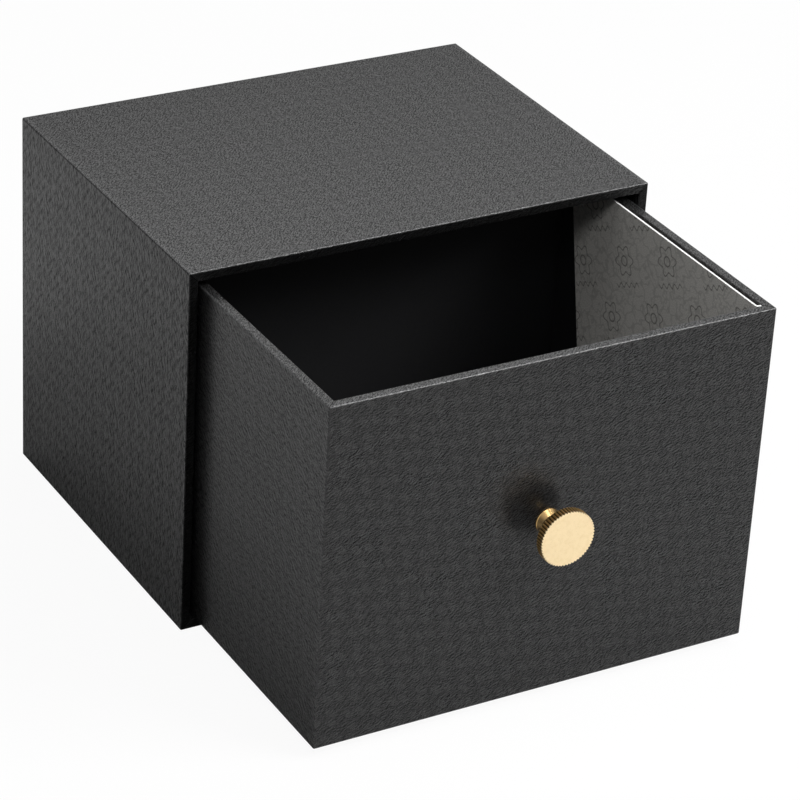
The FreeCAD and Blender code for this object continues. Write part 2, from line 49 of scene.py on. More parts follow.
class Canvas:
    """Adds nodes to one shader tree and joins them."""

    def __init__(self, tree: bpy.types.NodeTree) -> None:
        """Start with an empty tree."""
        self.tree = tree
        tree.nodes.clear()

    def add(self, kind: str, **settings: object) -> bpy.types.Node:
        """Add a node.

        Args:
            kind: Node type without its ShaderNode prefix.
            settings: Properties of the node.

        Returns:
            The new node.
        """
        node = self.tree.nodes.new(f"ShaderNode{kind}")
        for name, value in settings.items():
            setattr(node, name, value)
        return node

    def put(self, socket: Socket, value: object) -> None:
        """Link a socket to an input, or set the input to a plain value."""
        if isinstance(value, bpy.types.NodeSocket):
            self.tree.links.new(value, socket)
        else:
            socket.default_value = value

    def math(self, operation: str, *values: object, clamp: bool = False) -> Socket:
        """Work out one number from others.

        Args:
            operation: Operation of the Math node.
            values: Sockets or numbers.
            clamp: Whether to keep the result from 0 to 1.

        Returns:
            The result's socket.
        """
        node = self.add("Math", operation=operation, use_clamp=clamp)
        for socket, value in zip(node.inputs, values):
            self.put(socket, value)
        return node.outputs[0]

    def vector(self, operation: str, *values: object) -> Socket:
        """Work out one vector from others; a Scale takes its factor second."""
        node = self.add("VectorMath", operation=operation)
        self.put(node.inputs[0], values[0])
        if operation == "SCALE":
            self.put(node.inputs["Scale"], values[1])
        else:
            for socket, value in zip(node.inputs[1:], values[1:]):
                self.put(socket, value)
        return node.outputs["Value" if operation in ("LENGTH", "DOT_PRODUCT") else "Vector"]

    def split(self, vector: Socket) -> tuple[Socket, Socket, Socket]:
        """X, Y and Z of a vector."""
        node = self.add("SeparateXYZ")
        self.put(node.inputs[0], vector)
        return node.outputs[0], node.outputs[1], node.outputs[2]

    def join(self, x: object, y: object, z: object) -> Socket:
        """Vector of three numbers or sockets."""
        node = self.add("CombineXYZ")
        for socket, value in zip(node.inputs, (x, y, z)):
            self.put(socket, value)
        return node.outputs[0]

    def step(self, value: Socket, low: object, high: object) -> Socket:
        """Smooth step of a value from 0 at low to 1 at high."""
        node = self.add("MapRange", interpolation_type="SMOOTHSTEP", clamp=True)
        self.put(node.inputs["Value"], value)
        self.put(node.inputs["From Min"], low)
        self.put(node.inputs["From Max"], high)
        return node.outputs[0]

    def remap(self, value: Socket, low: float, high: float, to_low: object, to_high: object) -> Socket:
        """Straight map of a value from one range to another, held at its ends."""
        node = self.add("MapRange", clamp=True)
        for socket, part in zip(node.inputs, (value, low, high, to_low, to_high)):
            self.put(socket, part)
        return node.outputs[0]

    def noise(self, at: Socket, scale: float, detail: float = 2.0, roughness: float = 0.5) -> Socket:
        """Noise from 0 to 1 at a scale in waves per unit of the vector."""
        node = self.add("TexNoise")
        self.put(node.inputs["Vector"], at)
        self.put(node.inputs["Scale"], scale)
        self.put(node.inputs["Detail"], detail)
        self.put(node.inputs["Roughness"], roughness)
        return node.outputs["Fac"]

    def mix(self, share: object, first: object, second: object) -> Socket:
        """Colour between two colours."""
        node = self.add("Mix", data_type="RGBA")
        self.put(node.inputs["Factor"], share)
        self.put(node.inputs["A"], tint(first))
        self.put(node.inputs["B"], tint(second))
        return next(out for out in node.outputs if out.type == "RGBA")

    def blend(self, share: object, first: object, second: object) -> Socket:
        """Number between two numbers."""
        node = self.add("Mix", data_type="FLOAT")
        self.put(node.inputs["Factor"], share)
        self.put(node.inputs["A"], first)
        self.put(node.inputs["B"], second)
        return node.outputs[0]

    def use(self, group: bpy.types.NodeTree, **values: object) -> bpy.types.Node:
        """Place a node group.

        Args:
            group: The shared node group.
            values: Its inputs, with underscores for the blanks in their names.

        Returns:
            The group's node.
        """
        node = self.add("Group")
        node.node_tree = group
        for name, value in values.items():
            self.put(node.inputs[name.replace("_", " ")], value)
        return node


def tint(value: object) -> object:
    """A plain colour with its alpha added; a socket stays as it is."""
    if isinstance(value, tuple) and len(value) == 3:
        return (*value, 1.0)
    return value


class Kind(Enum):
    """Kind of a node group's socket."""

    NUMBER = "NodeSocketFloat"
    VECTOR = "NodeSocketVector"
    COLOUR = "NodeSocketColor"


class SharedEffect:
    """A node group that several materials place, built once."""

    title = "effect"
    inputs: tuple[tuple[str, Kind, object], ...] = ()
    outputs: tuple[tuple[str, Kind], ...] = ()

    def __init__(self) -> None:
        """Not built until a material asks for it."""
        self.tree: bpy.types.NodeTree | None = None

    def group(self) -> bpy.types.NodeTree:
        """The group's tree, built at the first call."""
        if self.tree is None:
            tree = bpy.data.node_groups.new(self.title, "ShaderNodeTree")
            for name, kind, value in self.inputs:
                socket = tree.interface.new_socket(name, in_out="INPUT", socket_type=kind.value)
                if value is not None:
                    socket.default_value = value
            for name, kind in self.outputs:
                tree.interface.new_socket(name, in_out="OUTPUT", socket_type=kind.value)
            canvas = Canvas(tree)
            source = canvas.tree.nodes.new("NodeGroupInput")
            results = self.build(canvas, {name: source.outputs[name] for name, _, _ in self.inputs})
            drain = canvas.tree.nodes.new("NodeGroupOutput")
            for name, result in results.items():
                canvas.put(drain.inputs[name], result)
            self.tree = tree
        return self.tree

    def build(self, canvas: Canvas, given: dict[str, Socket]) -> dict[str, Socket]:
        """Fill the group.

        Args:
            canvas: Canvas on the group's tree.
            given: Sockets of the group's inputs by name.

        Returns:
            Sockets for the group's outputs by name.
        """
        raise NotImplementedError


class SheetLay(SharedEffect):
    """Lays a flat sheet on the six sides of a box, in millimetres along and up the sheet."""

    title = "Sheet lay"
    inputs = (
        ("Place", Kind.VECTOR, None),
        ("Facing", Kind.VECTOR, None),
        ("Round the top", Kind.NUMBER, 0.0),
    )
    outputs = (("Sheet", Kind.VECTOR),)

    def build(self, canvas: Canvas, given: dict[str, Socket]) -> dict[str, Socket]:
        """Pick two coordinates by the way that the surface faces."""
        place = canvas.vector("SCALE", given["Place"], 1.0 / MM)
        x, y, z = canvas.split(place)
        facing = canvas.vector("ABSOLUTE", given["Facing"])
        across, depth, up = canvas.split(facing)
        on_side = canvas.math("GREATER_THAN", across, canvas.math("MAXIMUM", depth, up))
        on_top = canvas.math("GREATER_THAN", up, canvas.math("MAXIMUM", depth, across))
        side_x, _, _ = canvas.split(given["Facing"])
        outward = canvas.math("SIGN", side_x)
        wrapped = given["Round the top"]
        # A sheet round four walls turns with the walls. Round the top and sides, its length runs
        # up the sides; round the sides, front and back, its length runs level.
        level = canvas.math("MULTIPLY", y, outward)
        upright = canvas.math("MULTIPLY", z, canvas.math("MULTIPLY", outward, -1.0))
        side_along = canvas.blend(wrapped, level, upright)
        side_up = canvas.blend(wrapped, z, canvas.math("MULTIPLY", y, -1.0))
        along = canvas.blend(on_side, x, side_along)
        raised = canvas.blend(on_side, canvas.blend(on_top, z, y), side_up)
        return {"Sheet": canvas.join(along, raised, 0.0)}


class PlaitEmboss(SharedEffect):
    """Height of paper embossed as a fine plait: a broken two-over-two twill laid on the slant."""

    title = "Plait emboss"
    inputs = (
        ("Sheet", Kind.VECTOR, None),
        ("Repeat along", Kind.NUMBER, 16.0),
        ("Repeat up", Kind.NUMBER, 15.0),
        ("Wander", Kind.NUMBER, 0.35),
        ("Grain", Kind.NUMBER, 6.4),
        ("Stroke", Kind.NUMBER, 0.55),
        ("Across", Kind.NUMBER, 1.3),
        ("Plait", Kind.NUMBER, 0.2),
        ("Glint", Kind.NUMBER, 0.5),
        ("Relief", Kind.NUMBER, 0.0),
        ("Lean", Kind.NUMBER, 1.0),
    )
    outputs = (("Height", Kind.NUMBER), ("Lift", Kind.NUMBER))
    strands = 4.0
    rising_threads = 5.0
    falling_threads = 4.0
    crossing_height = 0.62
    soft_join = 0.12
    middle_height = 0.6
    grain_in_height = 0.16
    glint_gain = 1.5

    def build(self, canvas: Canvas, given: dict[str, Socket]) -> dict[str, Socket]:
        """Raise the strands of both directions, keep the higher one and press the strokes in."""
        sheet = given["Sheet"]
        wander = canvas.add("TexNoise")
        canvas.put(wander.inputs["Vector"], sheet)
        canvas.put(wander.inputs["Scale"], 0.45)
        canvas.put(wander.inputs["Detail"], 2.0)
        shift = canvas.vector("SUBTRACT", wander.outputs["Color"], (0.5, 0.5, 0.5))
        bent = canvas.vector("ADD", sheet, canvas.vector("SCALE", shift, given["Wander"]))
        u, v, _ = canvas.split(bent)
        plait = self.plait(canvas, given, u, v)
        grain = canvas.math("MULTIPLY", self.strokes(canvas, given, u, v), given["Grain"])
        patch = canvas.noise(sheet, 0.5, 2.0, 0.5)
        height = canvas.math("MULTIPLY", plait, canvas.remap(patch, 0.3, 0.7, 0.5, 0.7))
        height = canvas.math("ADD", height, canvas.math("MULTIPLY", grain, self.grain_in_height))
        above = canvas.math("SUBTRACT", plait, self.middle_height)
        # Lift runs from the hollows (0) to the crests (1); the paper paints shade into the hollows from it
        # and sets its shine by it.
        lift = canvas.math("ADD", canvas.math("MULTIPLY", above, given["Plait"]), grain)
        lift = canvas.math("ADD", canvas.math("MULTIPLY", lift, 0.5), 0.5, clamp=True)
        # Where Glint asks for it, squaring the lift paints bright highlights on the highest tips.
        glint = canvas.math("MULTIPLY", canvas.math("MULTIPLY", lift, lift), self.glint_gain)
        lift = canvas.blend(given["Glint"], lift, glint)
        return {"Height": height, "Lift": canvas.math("MINIMUM", lift, 1.0)}

    def plait(self, canvas: Canvas, given: dict[str, Socket], u: Socket, v: Socket) -> Socket:
        """Height of the plait's strands.

        Args:
            canvas: Canvas on the group's tree.
            given: Sockets of the group's inputs by name.
            u: Place along the sheet.
            v: Place up the sheet.

        Returns:
            Height from 0 in the gaps to about 1 on the strands.
        """
        along = canvas.math("DIVIDE", u, given["Repeat along"])
        up = canvas.math("DIVIDE", v, given["Repeat up"])
        falling = canvas.math("MULTIPLY", canvas.math("SUBTRACT", along, up), self.strands)
        rising = canvas.math("MULTIPLY", canvas.math("ADD", along, up), -self.strands)
        # Each row of the twill starts a strand later than the row before, and turns back half way.
        row = canvas.math("FLOORED_MODULO", canvas.math("FLOOR", rising), self.strands)
        late = canvas.math("GREATER_THAN", row, 1.5)
        turn = canvas.math("SUBTRACT", 5.0, canvas.math("MULTIPLY", row, 2.0))
        start = canvas.math("SUBTRACT", 3.0, canvas.math("ADD", row, canvas.math("MULTIPLY", late, turn)))
        travel = canvas.math("FLOORED_MODULO", canvas.math("SUBTRACT", falling, start), self.strands)
        turned = canvas.math("MULTIPLY", canvas.math("SUBTRACT", travel, 1.0), math.pi / 2)
        over = canvas.step(canvas.math("COSINE", turned), -0.35, 0.75)
        row_edge = self.from_middle(canvas, rising)
        row_round = canvas.math("SUBTRACT", 1.0, canvas.math("POWER", row_edge, 5.0))
        column_edge = canvas.math("DIVIDE", self.from_middle(canvas, falling), 0.8)
        column_edge = canvas.math("MINIMUM", column_edge, 1.0)
        column_round = canvas.math("SUBTRACT", 1.0, canvas.math("POWER", column_edge, 3.0))
        level_threads = self.threads(canvas, rising, self.rising_threads, 0.05)
        cross_threads = self.threads(canvas, falling, self.falling_threads, 0.04)
        laid = canvas.math("ADD", canvas.math("MULTIPLY", row_round, 0.6), 0.4)
        laid = canvas.math("MULTIPLY", over, laid)
        laid = canvas.math("ADD", laid, canvas.math("MULTIPLY", level_threads, over))
        crossing = canvas.math("MULTIPLY", column_round, self.crossing_height)
        crossing = canvas.math("ADD", crossing, cross_threads)
        shoulder = canvas.math("ADD", canvas.math("MULTIPLY", row_round, 0.35), 0.65)
        return canvas.math("SMOOTH_MAX", laid, canvas.math("MULTIPLY", crossing, shoulder), self.soft_join)

    def from_middle(self, canvas: Canvas, count: Socket) -> Socket:
        """Distance from a strand's middle, 0 there and 1 at its edges, from a count of strands."""
        doubled = canvas.math("MULTIPLY", canvas.math("FRACT", count), 2.0)
        return canvas.math("ABSOLUTE", canvas.math("SUBTRACT", doubled, 1.0))

    def threads(self, canvas: Canvas, count: Socket, threads: float, height: float) -> Socket:
        """Ripple of the threads in each strand, from a count of strands."""
        turned = canvas.math("MULTIPLY", count, 2 * threads * math.pi)
        return canvas.math("MULTIPLY", canvas.math("COSINE", turned), height)

    def strokes(self, canvas: Canvas, given: dict[str, Socket], u: Socket, v: Socket) -> Socket:
        """Fine pressed strokes over the plait.

        Args:
            canvas: Canvas on the group's tree.
            given: Sockets of the group's inputs by name.
            u: Place along the sheet.
            v: Place up the sheet.

        Returns:
            Height of the strokes about zero, with a lit and a shaded flank where Relief asks for it.
        """
        lean = given["Lean"]
        along = canvas.math("ADD", u, canvas.math("MULTIPLY", v, lean))
        abreast = canvas.math("SUBTRACT", canvas.math("MULTIPLY", u, lean), v)
        slanted = canvas.join(
            canvas.math("MULTIPLY", along, given["Stroke"]),
            canvas.math("MULTIPLY", abreast, given["Across"]),
            0.0,
        )
        speck = canvas.noise(slanted, 1.0, 2.0, 0.8)
        beside = canvas.noise(canvas.vector("ADD", slanted, (0.1, 0.45, 0.0)), 1.0, 2.0, 0.8)
        return canvas.math("SUBTRACT", speck, canvas.blend(given["Relief"], 0.5, beside))


class RimWear(SharedEffect):
    """Mask of the outer edges of a box-shaped piece, broken up as handling leaves it."""

    title = "Rim wear"
    inputs = (
        ("Place", Kind.VECTOR, None),
        ("Low", Kind.VECTOR, None),
        ("High", Kind.VECTOR, None),
        ("Reach", Kind.NUMBER, 0.8 * MM),
    )
    outputs = (("Edge", Kind.NUMBER), ("Wear", Kind.NUMBER), ("Inset", Kind.VECTOR))

    def build(self, canvas: Canvas, given: dict[str, Socket]) -> dict[str, Socket]:
        """An edge is where two of the three distances to the box's sides are small."""
        middle = canvas.vector("SCALE", canvas.vector("ADD", given["Low"], given["High"]), 0.5)
        half = canvas.vector("SCALE", canvas.vector("SUBTRACT", given["High"], given["Low"]), 0.5)
        offset = canvas.vector("ABSOLUTE", canvas.vector("SUBTRACT", given["Place"], middle))
        inset = canvas.vector("SUBTRACT", half, offset)
        x, y, z = canvas.split(inset)
        pairs = (canvas.math("MAXIMUM", x, y), canvas.math("MAXIMUM", y, z), canvas.math("MAXIMUM", x, z))
        nearest = canvas.math("MINIMUM", pairs[0], canvas.math("MINIMUM", pairs[1], pairs[2]))
        sharp = canvas.math("MULTIPLY", given["Reach"], 0.25)
        edge = canvas.math("SUBTRACT", 1.0, canvas.step(nearest, sharp, given["Reach"]))
        rub = canvas.noise(given["Place"], 900.0, 3.0, 0.6)
        wear = canvas.math("MULTIPLY", edge, canvas.step(rub, 0.42, 0.62))
        return {"Edge": edge, "Wear": wear, "Inset": canvas.vector("SCALE", inset, 1.0 / MM)}


SHEET_LAY = SheetLay()
PLAIT = PlaitEmboss()
RIM_WEAR = RimWear()


def new_material(name: str) -> tuple[bpy.types.Material, Canvas, bpy.types.Node]:
    """Start a material.

    Args:
        name: Name of the material.

    Returns:
        The material, a canvas on its tree and its Principled BSDF.
    """
    material = bpy.data.materials.new(name)
    material.use_nodes = True
    canvas = Canvas(material.node_tree)
    shader = canvas.add("BsdfPrincipled")
    output = canvas.add("OutputMaterial")
    canvas.put(output.inputs["Surface"], shader.outputs[0])
    return material, canvas, shader


def bump(canvas: Canvas, height: Socket, depth: float) -> Socket:
    """Normal of a surface raised by a height of 0 to 1 times a depth in metres."""
    node = canvas.add("Bump")
    canvas.put(node.inputs["Height"], height)
    canvas.put(node.inputs["Distance"], depth)
    canvas.put(node.inputs["Strength"], 1.0)
    return node.outputs[0]


def own_place(canvas: Canvas) -> Socket:
    """Place on the piece in the model's frame, in metres."""
    return canvas.add("TexCoord").outputs["Object"]


def own_facing(canvas: Canvas) -> Socket:
    """Smooth normal of the piece before any bump."""
    return canvas.add("TexCoord").outputs["Normal"]


@dataclass(frozen=True)
class FoldedRim:
    """Where the paper turns over the boards round an opening."""

    axis: int
    side: float
    # Factor of the rim's tone: below 1 it is painted shade, above 1 lighter worn paper.
    gain: float
    # Painted highlight along the rounded fold beside the rim, with the paper's wear there.
    edge_wear_and_highlight_gain: float = 2.2
    mitre_gain: float = 0.35
    rubbed_gain: float = 1.8
    # Painted shade on the rim's upright cheeks, as a factor of the rim's tone.
    painted_cheek_shade: float = 1.0

    def masks(self, canvas: Canvas, facing: Socket, inset: Socket) -> tuple[Socket, Socket, Socket, Socket]:
        """Find the rim, its outer edge and the mitred folds at its corners.

        Args:
            canvas: Canvas on the paper's tree.
            facing: Smooth normal.
            inset: Distances to the sides of the piece's box, in millimetres.

        Returns:
            Masks of the rim, of its parts along the first side, of the edge on the walls beside it
            and of the mitres.
        """
        facings = canvas.split(facing)
        insets = canvas.split(inset)
        towards = canvas.math("MULTIPLY", facings[self.axis], self.side)
        rim = canvas.math("GREATER_THAN", towards, 0.7)
        wall = canvas.math("LESS_THAN", canvas.math("ABSOLUTE", towards), 0.7)
        near = canvas.math("SUBTRACT", 1.0, canvas.step(insets[self.axis], 0.2, 0.6))
        edge = canvas.math("MULTIPLY", wall, near)
        first, second = (insets[i] for i in range(3) if i != self.axis)
        apart = canvas.math("ABSOLUTE", canvas.math("SUBTRACT", first, second))
        mitre = canvas.math("MULTIPLY", rim, canvas.math("SUBTRACT", 1.0, canvas.step(apart, 0.1, 0.35)))
        return rim, canvas.math("LESS_THAN", first, second), edge, mitre


@dataclass(frozen=True)
class Strokes:
    """How the emboss lies and shows on the walls that face one way.

    Along and across count its waves in a millimetre, lean is the strokes' rise over their run, and
    grain is the strokes' weight at the box's left and at its right. Relief paints a lit and a shaded
    flank on each stroke, and glint paints highlights on the highest tips.
    """

    along: float
    across: float
    lean: float
    relief: float
    plait: float
    grain: tuple[float, float]
    glint: float = 0.4


FRONT_STROKES = Strokes(along=0.78, across=1.5, lean=0.34, relief=0.7, plait=0.37, grain=(4.2, 7.8))
TOP_STROKES = Strokes(
    along=0.62, across=1.35, lean=1.0, relief=0.2, plait=0.34, grain=(9.8, 9.8), glint=1.0
)
CASE_SIDE_STROKES = Strokes(along=0.44, across=0.8, lean=-0.4, relief=0.5, plait=0.7, grain=(7.0, 7.0))
DRAWER_SIDE_STROKES = Strokes(
    along=0.4, across=0.7, lean=-1.0, relief=0.7, plait=0.35, grain=(6.2, 6.2)
)


class Walls:
    """Tells the front and back, the top and bottom, and the sides of a box-shaped piece apart."""

    straight = 0.7

    def __init__(self, canvas: Canvas) -> None:
        """Find which way the surface faces."""
        self.canvas = canvas
        self.facing = own_facing(canvas)
        across, depth, up = canvas.split(canvas.vector("ABSOLUTE", self.facing))
        self.on_side = canvas.math("GREATER_THAN", across, self.straight)
        self.on_front = canvas.math("GREATER_THAN", depth, self.straight)
        self.on_top = canvas.math("GREATER_THAN", up, self.straight)

    def pick(self, side: object, top: object, front: object) -> Socket:
        """One of three values, by the wall."""
        return self.canvas.blend(self.on_front, self.canvas.blend(self.on_top, side, top), front)


@dataclass(frozen=True)
class EmbossedPaper:
    """Black covering paper with a plaited emboss and a satin face.

    The pairs named for walls are painted light and shade at the two ends of a slow ramp of tone:
    from the foot to the middle of the sides, from front to back on top, from left to right in front.
    """

    name: str
    low: Vector
    high: Vector
    round_the_top: float = 0.0
    rim: FoldedRim | None = None
    # Strength of the painted shade along the fold from the top onto the sides, and of the painted highlight
    # on the top beside it.
    crease_shade_and_highlight: float = 0.0
    sides: tuple[float, float] = (1.0, 1.0)
    top: tuple[float, float] = (1.0, 1.0)
    front: tuple[float, float] = (1.0, 1.0)
    side_strokes: Strokes = CASE_SIDE_STROKES
    face: Colour = (0.022, 0.022, 0.0225)
    # Painted shade in the emboss's hollows.
    painted_hollow_shade: Colour = (0.004, 0.004, 0.004)
    rubbed: Colour = (0.035, 0.035, 0.036)
    depth: float = 0.05 * MM
    roughness: float = 0.28
    sheen: tuple[float, float] = (0.06, 0.70)
    grain_edge: float = 81.0 * MM
    half_width: float = 86.0
    half_depth: float = 65.0
    shaded_from: float = 5.0
    shaded_to: float = 60.0

    def material(self) -> bpy.types.Material:
        """Build the paper for one box-shaped piece."""
        material, canvas, shader = new_material(self.name)
        place = own_place(canvas)
        walls = Walls(canvas)
        lay = canvas.use(
            SHEET_LAY.group(), Place=place, Facing=walls.facing, Round_the_top=self.round_the_top
        )
        emboss = self.emboss(canvas, walls, place, lay.outputs["Sheet"])
        lift = emboss.outputs["Lift"]
        wear = canvas.use(RIM_WEAR.group(), Place=place, Low=self.low, High=self.high)
        # The colour runs from painted shade in the hollows to the paper's own tone on the crests.
        tone = canvas.mix(lift, self.painted_hollow_shade, self.face)
        tone = canvas.mix(canvas.math("MULTIPLY", wear.outputs["Edge"], 0.55), tone, self.rubbed)
        # The gain paints light and shade into the colour and the shine: ramps over the walls, the crease
        # and the rim.
        gain = self.gain(canvas, walls, wear.outputs["Inset"], wear.outputs["Wear"])
        canvas.put(shader.inputs["Base Color"], canvas.vector("SCALE", tone, gain))
        cloud = canvas.noise(place, 60.0, 3.0)
        rough = canvas.remap(cloud, 0.3, 0.7, self.roughness - 0.03, self.roughness + 0.04)
        canvas.put(shader.inputs["Roughness"], rough)
        sheen = canvas.math("MULTIPLY", canvas.blend(lift, *self.sheen), gain)
        canvas.put(shader.inputs["Specular IOR Level"], canvas.math("MINIMUM", sheen, 1.0))
        canvas.put(shader.inputs["Normal"], bump(canvas, emboss.outputs["Height"], self.depth))
        return material

    def emboss(self, canvas: Canvas, walls: Walls, place: Socket, sheet: Socket) -> bpy.types.Node:
        """Place the emboss, with each wall's own strokes.

        Args:
            canvas: Canvas on the paper's tree.
            walls: The walls of the piece.
            place: Place on the piece, in metres.
            sheet: Place on the flat sheet, in millimetres.

        Returns:
            The node of the emboss.
        """
        kinds = (self.side_strokes, TOP_STROKES, FRONT_STROKES)
        sideways, _, _ = canvas.split(place)
        grain = [canvas.remap(sideways, -self.grain_edge, self.grain_edge, *kind.grain) for kind in kinds]
        return canvas.use(
            PLAIT.group(),
            Sheet=sheet,
            Stroke=walls.pick(*(kind.along for kind in kinds)),
            Across=walls.pick(*(kind.across for kind in kinds)),
            Grain=walls.pick(*grain),
            Plait=walls.pick(*(kind.plait for kind in kinds)),
            Relief=walls.pick(*(kind.relief for kind in kinds)),
            Lean=walls.pick(*(kind.lean for kind in kinds)),
            Glint=walls.pick(*(kind.glint for kind in kinds)),
        )

    def painted_light_ramp(self, canvas: Canvas, walls: Walls) -> Socket:
        """Painted light and shade: a slow ramp of the tone over each wall."""
        x, y, z = canvas.split(canvas.vector("SCALE", own_place(canvas), 1.0 / MM))
        level = canvas.remap(x, -self.half_width, self.half_width, *self.front)
        on_top = canvas.remap(y, -self.half_depth, self.half_depth, *self.top)
        on_side = canvas.remap(z, self.shaded_from, self.shaded_to, *self.sides)
        return canvas.blend(walls.on_side, canvas.blend(walls.on_top, level, on_top), on_side)

    def gain(self, canvas: Canvas, walls: Walls, inset: Socket, wear: Socket) -> Socket:
        """How much lighter or darker the paper is made: painted light and shade over its walls, crease and
        rim, with the rim's wear and seams.

        Args:
            canvas: Canvas on the paper's tree.
            walls: The walls of the piece.
            inset: Distances to the sides of the piece's box, in millimetres.
            wear: Mask of the rubbed spots.

        Returns:
            Factor of the paper's tone and shine, painted light and shade included.
        """
        gain = self.painted_light_ramp(canvas, walls)
        if self.rim is not None:
            rim, painted_cheek_shade, edge, mitre = self.rim.masks(canvas, walls.facing, inset)
            # The rim takes its factor, with painted shade on its upright cheeks.
            folded = canvas.blend(painted_cheek_shade, self.rim.gain, self.rim.gain * self.rim.painted_cheek_shade)
            gain = canvas.blend(rim, gain, folded)
            # Painted highlight and wear along the fold's edge.
            gain = canvas.math("MULTIPLY", gain, canvas.blend(edge, 1.0, self.rim.edge_wear_and_highlight_gain))
            gain = canvas.math("MULTIPLY", gain, canvas.blend(mitre, 1.0, self.rim.mitre_gain))
            rubbed = canvas.blend(canvas.math("MULTIPLY", rim, wear), 1.0, self.rim.rubbed_gain)
            gain = canvas.math("MULTIPLY", gain, rubbed)
        # Painted shade on the sides just under the fold, and a painted highlight on the top beside it.
        if self.crease_shade_and_highlight:
            inset_x, _, inset_z = canvas.split(inset)
            painted_crease_shade = canvas.math("SUBTRACT", 1.0, canvas.step(inset_z, 0.2, 0.9))
            painted_crease_shade = canvas.math("MULTIPLY", walls.on_side, painted_crease_shade)
            painted_top_highlight = canvas.math("SUBTRACT", 1.0, canvas.step(inset_x, 0.6, 2.4))
            painted_top_highlight = canvas.math("MULTIPLY", walls.on_top, painted_top_highlight)
            gain = canvas.math("MULTIPLY", gain, canvas.blend(painted_crease_shade, 1.0, 1.0 - self.crease_shade_and_highlight))
            gain = canvas.math("MULTIPLY", gain, canvas.blend(painted_top_highlight, 1.0, 1.0 + 0.8 * self.crease_shade_and_highlight))
        return gain


@dataclass(frozen=True)
class LiningPaper:
    """Smooth matt black lining."""

    name: str = "black lining paper"
    face: Colour = (0.006, 0.006, 0.007)
    fibre: Colour = (0.010, 0.010, 0.011)

    def material(self) -> bpy.types.Material:
        """Build the lining."""
        material, canvas, shader = new_material(self.name)
        place = own_place(canvas)
        fibres = canvas.noise(place, 1800.0, 3.0, 0.65)
        cloud = canvas.noise(place, 40.0, 2.0)
        share = canvas.math("MULTIPLY", fibres, cloud)
        canvas.put(shader.inputs["Base Color"], canvas.mix(share, self.face, self.fibre))
        canvas.put(shader.inputs["Roughness"], canvas.remap(fibres, 0.3, 0.7, 0.72, 0.86))
        canvas.put(shader.inputs["Specular IOR Level"], 0.3)
        canvas.put(shader.inputs["Normal"], bump(canvas, fibres, 0.03 * MM))
        return material


@dataclass(frozen=True)
class Greyboard:
    """Raw grey solid board, flecked, with layered edges."""

    name: str = "raw greyboard"
    face: Colour = (0.42, 0.40, 0.37)
    fleck: Colour = (0.27, 0.26, 0.24)

    def material(self) -> bpy.types.Material:
        """Build the board."""
        material, canvas, shader = new_material(self.name)
        place = own_place(canvas)
        flecks = canvas.noise(place, 1100.0, 4.0, 0.7)
        layers = canvas.noise(canvas.vector("MULTIPLY", place, (150.0, 150.0, 3000.0)), 1.0, 2.0)
        layered = canvas.remap(layers, 0.2, 0.8, 0.5, 1.0)
        share = canvas.math("MULTIPLY", canvas.step(flecks, 0.5, 0.7), layered)
        canvas.put(shader.inputs["Base Color"], canvas.mix(share, self.face, self.fleck))
        canvas.put(shader.inputs["Roughness"], canvas.remap(flecks, 0.3, 0.7, 0.82, 0.95))
        canvas.put(shader.inputs["Normal"], bump(canvas, flecks, 0.08 * MM))
        return material


